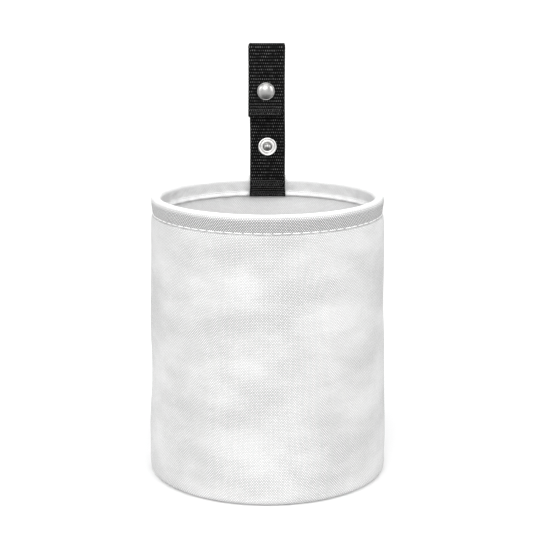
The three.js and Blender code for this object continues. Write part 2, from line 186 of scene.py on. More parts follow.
def two_sided(name, front, back, uv, material, wrap=False, far_shift=0.0):
    """A closed sheet between two grids of points. wrap joins the last column to the first, and then
    uv has one column more than the grids. far_shift is added to u on the back grid's side."""
    rows, columns = front.shape[:2]
    spans = columns if wrap else columns - 1
    near = np.arange(rows * columns).reshape(rows, columns)
    far = near + rows * columns
    uv_index = np.arange(uv.shape[0] * uv.shape[1]).reshape(uv.shape[:2])
    i, j = np.meshgrid(np.arange(rows - 1), np.arange(spans), indexing="ij")
    i, j = i.ravel(), j.ravel()
    k = (j + 1) % columns
    faces = [
        np.column_stack([near[i, j], near[i, k], near[i + 1, k], near[i + 1, j]]),
        np.column_stack([far[i, j], far[i + 1, j], far[i + 1, k], far[i, k]]),
    ]
    here, beside = uv_index[i, j], uv_index[i, j + 1]
    above, across = uv_index[i + 1, j], uv_index[i + 1, j + 1]
    corners = [
        np.column_stack([here, beside, across, above]),
        np.column_stack([here, above, across, beside]),
    ]
    j = np.arange(spans)
    k = (j + 1) % columns
    for row, first, second in ((0, far, near), (rows - 1, near, far)):
        first, second = first[row], second[row]
        faces.append(np.column_stack([first[j], first[k], second[k], second[j]]))
        edge = uv_index[row]
        corners.append(np.column_stack([edge[j], edge[j + 1], edge[j + 1], edge[j]]))
    if not wrap:
        i = np.arange(rows - 1)
        for column, first, second in ((0, near, far), (columns - 1, far, near)):
            first, second = first[:, column], second[:, column]
            faces.append(np.column_stack([first[i], first[i + 1], second[i + 1], second[i]]))
            edge = uv_index[:, column]
            corners.append(np.column_stack([edge[i], edge[i + 1], edge[i + 1], edge[i]]))
    points = np.concatenate([front.reshape(-1, 3), back.reshape(-1, 3)])
    pairs = uv.reshape(-1, 2)[np.concatenate(corners).ravel()]
    sheet_corners = 4 * len(faces[0])
    pairs[sheet_corners : 2 * sheet_corners, 0] += far_shift
    return new_piece(name, points, np.concatenate(faces), material, pairs)


def tube_faces(rings, sides, start=0):
    """Quads from ring to ring of a tube's points, and a face over each of its ends."""
    faces = []
    for ring in range(rings - 1):
        for side in range(sides):
            here = start + ring * sides + side
            beside = start + ring * sides + (side + 1) % sides
            faces.append([here, beside, beside + sides, here + sides])
    last = start + (rings - 1) * sides
    faces.append(list(reversed(range(start, start + sides))))
    faces.append(list(range(last, last + sides)))
    return faces


class Threads:
    """Many short tubes gathered into one mesh: each is a stitch, with the twist of its plies."""

    RINGS = 11  # along each stitch
    AROUND = 10  # points round each ring
    PLIES = 3
    PLY_DEPTH = 0.14  # of the radius
    TWIST = 900.0  # radians of twist for each metre
    HELPER = np.array([0.31, 0.17, 0.94])  # a direction that no stitch runs in

    def __init__(self):
        self.vertices = []
        self.faces = []

    def add(self, points, radius, ends=0.45):
        """points is a line, and ends the share of the radius left at its two ends."""
        curve = rounded(points, 2)
        line = at_distances(curve, np.linspace(0, distances(curve)[-1], self.RINGS))
        tangent = np.gradient(line, axis=0)
        tangent /= np.linalg.norm(tangent, axis=1)[:, None]
        across = np.cross(tangent, self.HELPER)
        across /= np.linalg.norm(across, axis=1)[:, None]
        up = np.cross(tangent, across)
        travelled = distances(line)
        share = travelled / travelled[-1]
        taper = ends + (1 - ends) * np.sin(np.pi * np.clip(share, 0.02, 0.98)) ** 0.4
        turn = 2 * math.pi * np.arange(self.AROUND)[:, None] / self.AROUND
        start = len(self.vertices)
        for ring in range(self.RINGS):
            ply = np.cos(self.PLIES * (turn - self.TWIST * travelled[ring]))
            reach = radius * taper[ring] * (1 + self.PLY_DEPTH * ply)
            offset = np.cos(turn) * across[ring] + np.sin(turn) * up[ring]
            self.vertices.extend(line[ring] + reach * offset)
        self.faces.extend(tube_faces(self.RINGS, self.AROUND, start))

    def piece(self, name, material):
        return new_piece(name, self.vertices, self.faces, material)


def turned(name, outline, place, facing, material, segments=72):
    """A body turned from (radius, height) points, first and last on the axis. facing is the way that
    its heights go, and place is where height 0 is. uv holds the radius and the height."""
    axis = Vector(facing).normalized()
    side = Vector((1, 0, 0))
    other = axis.cross(side)
    outline = np.asarray(outline)
    rings = outline[1:-1]
    vertices = [Vector(place) + axis * outline[0][1]]
    for radius, height in rings:
        for step in range(segments):
            turn = 2 * math.pi * step / segments
            spoke = side * math.cos(turn) + other * math.sin(turn)
            vertices.append(Vector(place) + spoke * radius + axis * height)
    vertices.append(Vector(place) + axis * outline[-1][1])
    last = len(vertices) - 1
    foot = 1 + (len(rings) - 1) * segments
    faces = []
    for step in range(segments):
        beside = (step + 1) % segments
        faces.append([0, 1 + beside, 1 + step])
        faces.append([last, foot + step, foot + beside])
        for ring in range(len(rings) - 1):
            here = 1 + ring * segments
            faces.append([here + step, here + beside, here + segments + beside, here + segments + step])
    rows = [outline[0], *np.repeat(rings, segments, axis=0), outline[-1]]
    uv = [rows[corner] for face in faces for corner in face]
    return new_piece(name, [tuple(v) for v in vertices], faces, material, uv)


# ---- materials


class Shader:
    """A node material whose helpers return sockets."""

    def __init__(self, name, **settings):
        self.material = bpy.data.materials.new(name)
        self.material.use_nodes = True
        self.tree = self.material.node_tree
        self.surface = self.tree.nodes["Principled BSDF"]
        for socket, value in settings.items():
            self.surface.inputs[socket.replace("_", " ").title()].default_value = value

    def node(self, kind, inputs, output=0, **settings):
        made = self.tree.nodes.new(kind)
        for key, value in settings.items():
            setattr(made, key, value)
        for key, value in inputs.items():
            if isinstance(value, bpy.types.NodeSocket):
                self.tree.links.new(value, made.inputs[key])
            else:
                made.inputs[key].default_value = value
        return made.outputs[output]

    def math(self, operation, first, second=0.0):
        return self.node("ShaderNodeMath", {0: first, 1: second}, operation=operation)

    def times(self, first, second):
        return self.math("MULTIPLY", first, second)

    def ramp(self, value, low, high, low_to, high_to):
        inputs = {0: value, 1: low, 2: high, 3: low_to, 4: high_to}
        return self.node("ShaderNodeMapRange", inputs)

    def between(self, value, rise, fall):
        """1 from the end of rise to the start of fall, both (start, end), and 0 outside them."""
        return self.times(self.ramp(value, *rise, 0.0, 1.0), self.ramp(value, *fall, 1.0, 0.0))

    def toned(self, tone, mask, factor):
        """The tone times the factor where the mask is 1."""
        return self.times(tone, self.ramp(mask, 0.0, 1.0, 1.0, factor))

    def mix(self, share, first, second):
        inputs = {0: share, 6: first, 7: second}
        return self.node("ShaderNodeMix", inputs, output=2, data_type="RGBA")

    def mix_value(self, share, first, second):
        return self.node("ShaderNodeMix", {0: share, 2: first, 3: second}, data_type="FLOAT")

    def noise(self, where, scale, detail=2.0, roughness=0.5):
        inputs = {"Vector": where, "Scale": scale, "Detail": detail, "Roughness": roughness}
        return self.node("ShaderNodeTexNoise", inputs)

    def stretched(self, where, scale):
        return self.node("ShaderNodeMapping", {"Vector": where, "Scale": scale})

    def weave_uv(self):
        return self.node("ShaderNodeUVMap", {}, uv_map="weave")

    def split(self, vector):
        return self.node("ShaderNodeSeparateXYZ", {0: vector}).node.outputs

    def object_place(self):
        return self.node("ShaderNodeTexCoord", {}, output=3)

    def relief(self, height, distance):
        inputs = {"Strength": 1.0, "Distance": distance, "Height": height}
        self.tree.links.new(self.node("ShaderNodeBump", inputs), self.surface.inputs["Normal"])

    def colour(self, socket):
        self.tree.links.new(socket, self.surface.inputs["Base Color"])

    def roughness(self, socket):
        self.tree.links.new(socket, self.surface.inputs["Roughness"])


def grey(value, warm=0.0):
    """A grey, or with warm above 0 a little redder and less blue."""
    return (value * (1 + warm), value, value * (1 - warm), 1)


def plain_weave(shader, pitch_u, pitch_v, wander, crest, under):
    """Heights from 0 to 1 of yarns that pass over and under each other, and the yarns' own shade. crest
    narrows the yarns' tops, and under is how high a yarn is where it passes below."""
    uv = shader.weave_uv()
    drift = shader.noise(uv, 260, 2.0)
    drift = shader.times(shader.math("SUBTRACT", drift, 0.5), wander)
    u, v = shader.split(uv)[:2]
    along_u = shader.math("ADD", shader.math("DIVIDE", u, pitch_u), drift)
    along_v = shader.math("ADD", shader.math("DIVIDE", v, pitch_v), drift)
    wave_u = shader.math("SINE", shader.times(along_u, math.pi))
    wave_v = shader.math("SINE", shader.times(along_v, math.pi))
    round_u = shader.math("POWER", shader.math("ABSOLUTE", wave_u), 0.6)
    round_v = shader.math("POWER", shader.math("ABSOLUTE", wave_v), crest)
    over = shader.math("GREATER_THAN", shader.times(wave_u, wave_v), 0.0)
    height = shader.times(shader.times(round_u, round_v), shader.ramp(over, 0.0, 1.0, under, 1.0))
    cell = {0: shader.math("FLOOR", along_u), 1: shader.math("FLOOR", along_v)}
    cell = shader.node("ShaderNodeCombineXYZ", cell)
    shade = shader.node("ShaderNodeTexWhiteNoise", {"Vector": cell}, noise_dimensions="2D")
    return height, shade


# How bright parts of the white cloth are beside the wall's outside; above 1 is painted light, below
# painted shade.
TIGHT_BAND_SHADE_TONE = 0.96
INSIDE_PAINTED_LIGHT_TONE = 1.1
FOLDED_PAINTED_LIGHT_TONE = 1.3
CREASE_SHADE_TONE = 0.62


def white_cloth_material(name, bright, gap, pitch_u, pitch_v, relief, band=None):
    """Matt white plain weave: pale yarns with painted shade in the gaps, and in soft patches the gaps
    fade. band is the stretch of the cloth, (start, end), where it is pulled tight and its gaps open,
    with painted shade over it. Before it is the part folded inside, which like the wall's inside gets
    painted light, and just after it the crease that the stitches press in, with painted shade in it."""
    shader = Shader(name, roughness=0.92, sheen_weight=0.08, sheen_roughness=0.6)
    height, shade = plain_weave(shader, pitch_u, pitch_v, 0.35, 0.6, 0.35)
    uv = shader.weave_uv()
    fibres = shader.noise(shader.stretched(uv, (2200.0, 2200.0, 1.0)), 1.0, 3.0, 0.7)
    patches = shader.noise(shader.stretched(uv, (1.0, 1.9, 1.0)), 20, 3.0, 0.55)
    faded_gaps = shader.ramp(patches, 0.36, 0.66, 0.15, 0.46)
    tone = shader.ramp(patches, 0.3, 0.7, 0.95, 1.0)
    tight = 0.0
    if band is not None:
        start, end = band
        u, along = shader.split(uv)[:2]
        # The band pulled tight: its gaps open, and it gets painted shade.
        tight = shader.between(along, (start, start + 2 * MM), (end, end + 0.8 * MM))
        # The turned-in hem with the rolled top, and the wall's inside, are brightened as painted light.
        folded_in = shader.ramp(along, start - 2 * MM, start, 1.0, 0.0)
        inside = shader.ramp(u, 0.9 * FAR_SIDE, FAR_SIDE, 0.0, 1.0)
        inside = shader.times(inside, shader.math("SUBTRACT", 1.0, folded_in))
        smooth = shader.math("ADD", folded_in, inside)
        # Painted shade in the crease just below the stitches, in patches.
        rise, fall = (end + 0.5 * MM, end + 0.9 * MM), (end + 1.1 * MM, end + 1.6 * MM)
        crease = shader.between(along, rise, fall)
        crease_shade = shader.times(crease, shader.ramp(shader.noise(uv, 150), 0.4, 0.6, 0.25, 1.0))
        faded_gaps = shader.mix_value(tight, faded_gaps, 0.0)
        # Where smooth, the gaps fade almost away, which adds to that painted light.
        faded_gaps = shader.mix_value(smooth, faded_gaps, 0.88)
        tone = shader.toned(tone, tight, TIGHT_BAND_SHADE_TONE)
        tone = shader.toned(tone, inside, INSIDE_PAINTED_LIGHT_TONE)
        tone = shader.toned(tone, folded_in, FOLDED_PAINTED_LIGHT_TONE)
        tone = shader.toned(tone, crease_shade, CREASE_SHADE_TONE)
    yarns = shader.mix_value(faded_gaps, shader.ramp(height, 0.15, 0.75, 0.0, 1.0), 0.85)
    # Painted shade in the gaps between the yarns, deeper where the band is pulled tight.
    base = shader.mix(yarns, shader.mix(tight, grey(gap), grey(0.55 * gap)), grey(bright))
    own_shade = shader.ramp(shade, 0.0, 1.0, 0.94, 1.0)
    factor = shader.times(tone, shader.times(own_shade, shader.ramp(fibres, 0.3, 0.7, 0.94, 1.0)))
    tint = shader.node("ShaderNodeCombineColor", {0: factor, 1: factor, 2: factor})
    inputs = {0: 1.0, 6: base, 7: tint}
    shader.colour(shader.node("ShaderNodeMix", inputs, 2, data_type="RGBA", blend_type="MULTIPLY"))
    shader.relief(shader.math("ADD", height, shader.times(fibres, 0.25)), relief)
    shader.roughness(shader.ramp(height, 0.0, 1.0, 0.97, 0.86))
    return shader.material


def black_webbing_material():
    """Ribbed black webbing: painted highlights on the short lengthwise yarns atop each crosswise rib.
    """
    shader = Shader("black_webbing", roughness=0.65)
    shader.surface.inputs["Specular IOR Level"].default_value = 0.03
    height, shade = plain_weave(shader, WEBBING_YARN, RIB, 0.3, 2.4, 0.3)
    uv = shader.weave_uv()
    fibres = shader.noise(shader.stretched(uv, (9000.0, 1500.0, 1.0)), 1.0, 3.0, 0.7)
    worn = shader.noise(uv, 240, 3.0, 0.6)
    # Painted highlights on the ribs' crests, near black between them.
    strength = shader.times(height, shader.ramp(shade, 0.0, 1.0, 0.45, 1.0))
    base = shader.mix(shader.ramp(strength, 0.3, 0.8, 0.0, 1.0), grey(0.002), grey(0.12))
    shader.colour(shader.mix(shader.ramp(worn, 0.5, 0.8, 0.0, 0.2), base, grey(0.02)))
    shader.relief(shader.math("ADD", height, shader.times(fibres, 0.35)), 0.25 * MM)
    shader.roughness(shader.ramp(fibres, 0.3, 0.7, 0.5, 0.7))
    return shader.material


def thread_material(name, shade, roughness, shine):
    """Spun thread: fine fibres along it, a little darker here and there."""
    shader = Shader(name, roughness=roughness)
    shader.surface.inputs["Specular IOR Level"].default_value = shine
    place = shader.object_place()
    fibres = shader.noise(place, 6000, 3.0, 0.6)
    shader.colour(shader.mix(shader.ramp(fibres, 0.3, 0.7, 0.0, 1.0), grey(shade * 0.8), grey(shade)))
    shader.relief(fibres, 0.05 * MM)
    return shader.material


def nickel_material(name, shade, centre):
    """Satin nickel plate with fine handling marks. shade is its grey on the flange, and centre on the
    knob within it, which is darker as painted shade."""
    shader = Shader(name, metallic=1.0, roughness=0.3)
    radius = shader.split(shader.weave_uv())[0]
    place = shader.object_place()
    marks = shader.noise(shader.stretched(place, (1.0, 1.0, 5.0)), 2600, 4.0, 0.7)
    patches = shader.noise(place, 320, 2.0, 0.5)
    patches = shader.ramp(patches, 0.35, 0.65, 0.0, 1.0)
    plate = shader.mix(patches, grey(0.9 * shade, 0.012), grey(shade, 0.01))
    # The knob is darker than the flange: painted shade.
    flange = shader.ramp(radius, 2.9 * MM, 3.2 * MM, 0.0, 1.0)
    shader.colour(shader.mix(flange, grey(centre, 0.01), plate))
    shader.roughness(shader.ramp(marks, 0.3, 0.7, 0.26, 0.4))
    shader.relief(marks, 0.006 * MM)
    return shader.material


def wire_material():
    """Bright drawn wire."""
    shader = Shader("spring_wire", metallic=1.0, roughness=0.22)
    drawn = shader.noise(shader.object_place(), 4200, 2.0, 0.5)
    shader.colour(shader.mix(drawn, grey(0.48), grey(0.6)))
    shader.roughness(shader.ramp(drawn, 0.3, 0.7, 0.18, 0.32))
    return shader.material


def rod_material():
    """Plain extruded plastic rod, faintly clouded."""
    shader = Shader("hoop_rod", roughness=0.5)
    cloud = shader.noise(shader.object_place(), 180, 3.0, 0.5)
    shader.colour(shader.mix(cloud, grey(0.6, 0.02), grey(0.72, 0.02)))
    shader.roughness(shader.ramp(cloud, 0.3, 0.7, 0.42, 0.6))
    return shader.material


RIB = 2.2 * MM  # pitch of the webbing's ribs
WEBBING_YARN = 0.75 * MM  # pitch of its lengthwise yarns
TAPE_YARNS = (0.5 * MM, 0.42 * MM)  # pitch along the tape and across it

WHITE_TAPE = white_cloth_material("white_tape", 0.84, 0.5, *TAPE_YARNS, 0.07 * MM)
WHITE_THREAD = thread_material("white_thread", 0.86, 0.8, 0.3)
BLACK_THREAD = thread_material("black_thread", 0.045, 0.5, 0.12)
BLACK_WEBBING = black_webbing_material()
# The cap and post heads get nickel darkened as painted shade, the stud's face nickel brightened as
# painted light.
SHADED_NICKEL = nickel_material("nickel_plate", 0.36, 0.32)
LIT_STUD_NICKEL = nickel_material("nickel_plate_stud", 0.78, 0.3)
SPRING_WIRE = wire_material()
HOOP_ROD_PLASTIC = rod_material()

# ---- the bag's cloth

GROOVE = 1.0 * MM  # how far the stitches pull the outer cloth in
STITCHES = 78  # round the rim
BASE_STITCHES = 76
WALL_TOP = RIM_RADIUS - CLOTH / 2
WALL_BASE = BASE_RADIUS - CLOTH / 2
HEM_LAYER = WALL_TOP - GROOVE - CLOTH  # the turned-in layer's middle at the stitches
CORNER = 4 * MM  # how far across the bottom edge is rounded
CORNER_HEIGHT = 3.2 * MM  # and how far up
ROLL_MIDDLE = ROLL - CLOTH / 2
BELLY_Z = 40 * MM  # the wall is a little in at BELLY_Z, and at its widest from WIDEST_Z down
WIDEST_Z = 14 * MM


def wall_line():
    """Middle of the wall's cloth, (radius, height) from the hem's edge inside, over the hoop, down the
    wall, round the bottom and up in the base seam."""
    hoop = (HOOP_RING, HOOP_Z)
    corner = (WALL_BASE - CORNER, CORNER_HEIGHT + CLOTH / 2)
    round_corner = arc((0, 0), 1, 0, -90, 8) * (CORNER, CORNER_HEIGHT) + corner
    turn_up = (corner[0], CLOTH / 2 + CLOTH)
    points = [
        (HEM_LAYER - 0.15 * MM, HEM_EDGE_Z + 0.3 * MM),
        (HEM_LAYER - 0.25 * MM, HEM_EDGE_Z + 1.6 * MM),
        (HEM_LAYER, STITCH_Z - 0.8 * MM),
        (HEM_LAYER, STITCH_Z + 0.5 * MM),
        *arc(hoop, ROLL_MIDDLE, 195, -5, 14),
        (WALL_TOP - 0.15 * MM, STITCH_Z + 6 * MM),
        (WALL_TOP - 0.6 * MM, STITCH_Z + 3 * MM),
        (WALL_TOP - GROOVE, STITCH_Z + 0.7 * MM),
        (WALL_TOP - GROOVE, STITCH_Z - 0.5 * MM),
        (WALL_TOP - 0.2 * MM, STITCH_Z - 2.2 * MM),
        (WALL_TOP + 0.2 * MM, STITCH_Z - 5 * MM),
        (WALL_TOP + 0.3 * MM, STITCH_Z - 12 * MM),
        (WALL_TOP + 0.6 * MM, STITCH_Z - 30 * MM),
        (WALL_BASE - 0.5 * MM, BELLY_Z),
        (WALL_BASE, WIDEST_Z),
        *round_corner,
        *arc(turn_up, CLOTH, 270, 180, 4),
        (turn_up[0] - CLOTH, ALLOWANCE_TOP),
    ]
    return rounded(points)


WALL_LINE = wall_line()
WALL_TRAVEL = distances(WALL_LINE)
WALL_LENGTH = WALL_TRAVEL[-1]
WALL_HIGHEST = int(np.argmax(WALL_LINE[:, 1]))
WALL_ACROSS = 79 * MM  # mean radius, which sets the cloth's flat width


def travel_at(part, height):
    """How far along the wall's line the point of this part nearest to a height is."""
    nearest = int(np.argmin(np.abs(WALL_LINE[part, 1] - height)))
    return WALL_TRAVEL[part][nearest]


OUTER_STITCH = travel_at(slice(WALL_HIGHEST, None), STITCH_Z)
INNER_STITCH = travel_at(slice(0, WALL_HIGHEST), STITCH_Z)
ROLL_TOP = travel_at(slice(WALL_HIGHEST, None), HEIGHT)
HEM_BAND = (ROLL_TOP + 3.2 * MM, OUTER_STITCH)  # the outside of the hem below its rounded top

YARNS = (0.8 * MM, 0.95 * MM)  # pitch of the wall's yarns, round the bag and up it
YARN_RELIEF = 0.26 * MM
WHITE_CLOTH = white_cloth_material("white_cloth", 0.8, 0.22, *YARNS, YARN_RELIEF, HEM_BAND)
WHITE_BASE = white_cloth_material("white_base_cloth", 0.8, 0.22, *YARNS, YARN_RELIEF)


def seeded_waves(count, turns, lengths, size):
    """Random slow waves: turns round the bag, radians up it for each metre, size and two phases."""
    waves = []
    for _ in range(count):
        around = dice.randint(*turns)
        upright = 2 * math.pi / dice.uniform(*lengths)
        height = size * dice.uniform(0.5, 1)
        phase = dice.uniform(0, 6.28)
        rise = dice.uniform(0, 6.28)
        waves.append((around, upright, height, phase, rise))
    return waves


def round_the_bag(azimuth, radius, height):
    return np.stack([radius * np.cos(azimuth), radius * np.sin(azimuth), height], axis=-1)


def sum_of(waves, azimuth, height):
    total = 0
    for around, upright, size, phase, rise in waves:
        total = total + size * np.cos(around * azimuth + phase) * np.cos(upright * height + rise)
    return total


BODY_WAVES = seeded_waves(12, (2, 9), (70 * MM, 190 * MM), 0.28 * MM)
BODY_RIPPLES = seeded_waves(12, (8, 22), (30 * MM, 80 * MM), 0.07 * MM)
HEM_PUCKERS = seeded_waves(10, (18, 52), (20 * MM, 60 * MM), 0.11 * MM)
INNER_PUCKERS = seeded_waves(12, (14, 46), (9 * MM, 26 * MM), 0.13 * MM)
BASE_WAVES = seeded_waves(8, (1, 5), (50 * MM, 120 * MM), 0.22 * MM)
TAPE_PUCKERS = seeded_waves(8, (20, 60), (12 * MM, 30 * MM), 0.05 * MM)

STITCH_PULL = 0.12 * MM  # how far each stitch draws the cloth in, and lets it out between stitches
CREASE_DEPTH = 0.5 * MM  # the fold pressed in just below the stitches
CREASE_GAP = 0.9 * MM  # and how far below them it is
HOLLOW_DEPTH = 2.0 * MM  # the broad dent low on the front
HOLLOW_Z = 30 * MM


def azimuth_from_front(azimuth):
    return (azimuth + math.pi / 2 + math.pi) % (2 * math.pi) - math.pi


def swell(azimuth, travel):
    """How far the cloth stands out from its line: dents, puckers at the hem, each stitch's pull."""
    height = np.interp(travel, WALL_TRAVEL, WALL_LINE[:, 1])
    below_rim = ease(travel, OUTER_STITCH, OUTER_STITCH + 22 * MM)
    above_base = 1 - ease(travel, WALL_LENGTH - 42 * MM, WALL_LENGTH - 18 * MM)
    body = (sum_of(BODY_WAVES, azimuth, height) + sum_of(BODY_RIPPLES, azimuth, height)) * below_rim
    near_stitch = bump_at(travel, OUTER_STITCH + 5 * MM, 9 * MM) * ease(travel, ROLL_TOP, OUTER_STITCH)
    hem = sum_of(HEM_PUCKERS, azimuth, height) * near_stitch
    inside = 1 - ease(travel, INNER_STITCH + 2 * MM, ROLL_TOP - 1 * MM)
    inner = sum_of(INNER_PUCKERS, azimuth, height) * (0.35 + 0.65 * inside) * (travel < ROLL_TOP)
    inner = inner * (1 - ease(travel, ROLL_TOP - 5 * MM, ROLL_TOP))
    at_stitches = bump_at(travel, OUTER_STITCH, 1.6 * MM) + bump_at(travel, INNER_STITCH, 1.6 * MM)
    pull = STITCH_PULL * np.cos(STITCHES * azimuth) * at_stitches
    crease = -CREASE_DEPTH * bump_at(travel, OUTER_STITCH + CREASE_GAP, CREASE_GAP / 2)
    hollow = -HOLLOW_DEPTH * bump_at(azimuth_from_front(azimuth), 0.05, 0.32)
    hollow = hollow * bump_at(height, HOLLOW_Z, 26 * MM)
    return (body + hollow * below_rim) * above_base + hem + inner + pull + crease


def cloth_place(azimuth, travel):
    """Middle of the wall's cloth and its outward face's direction, as arrays of points."""
    azimuth, travel = np.broadcast_arrays(azimuth, travel)
    radius, height, out_r, out_z = on_line(WALL_LINE, WALL_TRAVEL, travel)
    lift = swell(azimuth, travel)
    place = round_the_bag(azimuth, radius + out_r * lift, height + out_z * lift)
    return place, round_the_bag(azimuth, out_r, out_z)


WALL_COLUMNS = 420
WALL_ROWS = (  # (end of the stretch along the wall's line, spacing of its rows)
    (OUTER_STITCH - 3 * MM, 0.7 * MM),
    (OUTER_STITCH + 3 * MM, 0.25 * MM),
    (OUTER_STITCH + 9 * MM, 0.7 * MM),
    (WALL_LENGTH - 24 * MM, 3 * MM),
    (WALL_LENGTH, 0.9 * MM),
)
SEAM_SLOT = 0.1 * MM  # between the two edges of the wall where they meet at the side seam


def wall_panel():
    """One length of cloth from the hem's edge inside to the base seam, closed at the side seam."""
    rows = np.zeros(1)
    for end, step in WALL_ROWS:
        rows = np.concatenate([rows, spaced(rows[-1], end, step)[1:]])
    half_slot = SEAM_SLOT / 2 / WALL_ACROSS
    first, last = SEAM_AZIMUTH + half_slot, SEAM_AZIMUTH + 2 * math.pi - half_slot
    columns = np.linspace(first, last, WALL_COLUMNS)
    azimuth, travel = np.meshgrid(columns, rows)
    place, facing = cloth_place(azimuth, travel)
    bead = 0.35 * MM * bump_at(travel, 0.9 * MM, 1.3 * MM)
    end = 0.35 + 0.65 * ease(travel, -0.3 * MM, 0.9 * MM)
    half = CLOTH / 2 * end
    outer = place + facing * (half + bead)[..., None]
    inner = place - facing * half[..., None]
    uv = np.stack([azimuth * WALL_ACROSS, travel], axis=-1)
    return two_sided("wall_cloth", outer, inner, uv, WHITE_CLOTH, far_shift=FAR_SIDE)


BASE_LAYER = BASE_STITCH_RING + 2.1 * MM  # middle of the base panel's turned-up edge


def base_line():
    """Middle of the base panel's cloth from its centre outward."""
    bend = 1.5 * MM
    turn = (BASE_LAYER - bend, CLOTH / 2 + bend)
    return np.vstack([[[0, CLOTH / 2]], arc(turn, bend, -90, 0, 6), [[BASE_LAYER, ALLOWANCE_TOP]]])


def base_panel():
    """A disc whose weave runs straight across, so its grid is a square drawn out to a circle."""
    line = base_line()
    reach = distances(line)[-1]
    steps = np.linspace(-1, 1, 96)
    a, b = np.meshgrid(steps, steps)
    flat_x = a * np.sqrt(1 - b * b / 2)
    flat_y = b * np.sqrt(1 - a * a / 2)
    radius = np.hypot(flat_x, flat_y)
    line_r, line_z, up_r, up_z = on_line(line, distances(line), radius * reach)
    turn = np.arctan2(flat_y, flat_x)
    rise = sum_of(BASE_WAVES, turn, line_r) * ease(radius, 0.1, 0.4) * (1 - ease(radius, 0.72, 0.86))
    rise = np.abs(rise)  # it lies on the floor
    place = round_the_bag(turn, line_r, line_z + rise)
    half = round_the_bag(turn, up_r, up_z) * CLOTH / 2
    uv = np.stack([flat_x * reach, flat_y * reach], axis=-1)
    return two_sided("base_cloth", place + half, place - half, uv, WHITE_BASE)


TAPE = 0.8 * MM  # thickness of the white tape


def base_binding():
    """Tape folded over both raw edges of the base seam, slightly uneven."""
    middle = (BINDING_OUTER + BASE_STITCH_RING + THREAD + 0.2 * MM) / 2
    half = BINDING_OUTER - middle - TAPE / 2
    low = BINDING_LOW.z
    top = BINDING_HIGH.z - TAPE / 2
    inner, outer = middle - half, middle + half
    points = [
        [inner, low],
        [inner - 0.1 * MM, low + 2.2 * MM],
        [inner + 0.1 * MM, top - 1.6 * MM],
        [middle - half * 0.6, top - 0.1 * MM],
        [middle, top],
        [middle + half * 0.6, top - 0.1 * MM],
        [outer, top - 1.6 * MM],
        [outer, low + 2.2 * MM],
        [outer, low],
    ]
    line = rounded(points, 2)
    travel = spaced(0, distances(line)[-1], 0.7 * MM)
    placed = at_distances(line, travel)
    slope = np.gradient(placed, travel, axis=0)
    slope /= np.linalg.norm(slope, axis=1)[:, None]
    turns = np.linspace(0, 2 * math.pi, 361)
    azimuth, radius = np.meshgrid(turns[:-1], placed[:, 0])
    height = np.broadcast_to(placed[:, 1][:, None], radius.shape)
    out_r = -slope[:, 1][:, None] + 0 * azimuth
    out_z = slope[:, 0][:, None] + 0 * azimuth
    lift = sum_of(TAPE_PUCKERS, azimuth, height)
    place = round_the_bag(azimuth, radius + out_r * lift, height + out_z * lift)
    half_tape = round_the_bag(azimuth, out_r, out_z) * TAPE / 2
    uv = np.stack(np.meshgrid(turns * middle, travel), axis=-1)
    return two_sided("base_seam_tape", place + half_tape, place - half_tape, uv, WHITE_TAPE, wrap=True)


# A stitch from hole to hole: (share of the pitch, thread radii from the face to its middle).
RIM_STITCH = ((-0.5, -0.7), (-0.44, 0.35), (-0.2, 0.75), (0.2, 0.75), (0.44, 0.35), (0.5, -0.7))
SEAM_STITCH = ((-0.42, -0.7), (-0.36, 0.4), (0, 0.75), (0.36, 0.4), (0.42, -0.7))
STRAP_STITCH = ((-0.36, -0.9), (-0.2, 0.6), (0.0, 1.1), (0.2, 0.6), (0.36, -0.9))
STITCH_COVER = 0.84  # how much of its pitch a stitch round the bag takes


def ring_of_stitches(name, count, place_at, skip=None):
    """One stitch after another round the bag. place_at gives the point on the cloth's face and its
    direction for each azimuth, and skip says where there are none."""
    threads = Threads()
    pitch = 2 * math.pi / count
    for index in range(count):
        centre = (index + 0.5) * pitch
        if skip is not None and skip(centre):
            continue
        slip = dice.uniform(-0.04, 0.04) * pitch
        points = []
        for share, lift in RIM_STITCH:
            azimuth = centre + slip + share * STITCH_COVER * pitch
            place, facing = place_at(azimuth)
            points.append(place + facing * lift * THREAD)
        threads.add(np.array(points), THREAD * dice.uniform(0.95, 1.12))
    return threads.piece(name, WHITE_THREAD)


def face_of_cloth(travel):
    def place_at(azimuth):
        place, facing = cloth_place(np.array(azimuth), np.array(travel))
        return place + facing * (CLOTH / 2), facing

    return place_at


def hem_stitches_inner():
    half_strap = (WEBBING_WIDTH / 2 + 1 * MM) / HOOP_RING

    def under_strap(azimuth):
        return abs(azimuth - math.pi / 2) < half_strap

    return ring_of_stitches("hem_stitches_inner", STITCHES, face_of_cloth(INNER_STITCH), under_strap)


def base_stitches():
    def place_at(azimuth):
        facing = np.array([-math.cos(azimuth), -math.sin(azimuth), 0])
        radius = BASE_STITCH_RING + THREAD + 0.1 * MM
        return np.array([-facing[0] * radius, -facing[1] * radius, BASE_STITCH_Z]), facing

    return ring_of_stitches("base_seam_stitches", BASE_STITCHES, place_at)


def seam_travel(height):
    """How far along the wall's line a height is, on the outer side."""
    return np.interp(-height, -WALL_LINE[WALL_HIGHEST:, 1], WALL_TRAVEL[WALL_HIGHEST:])


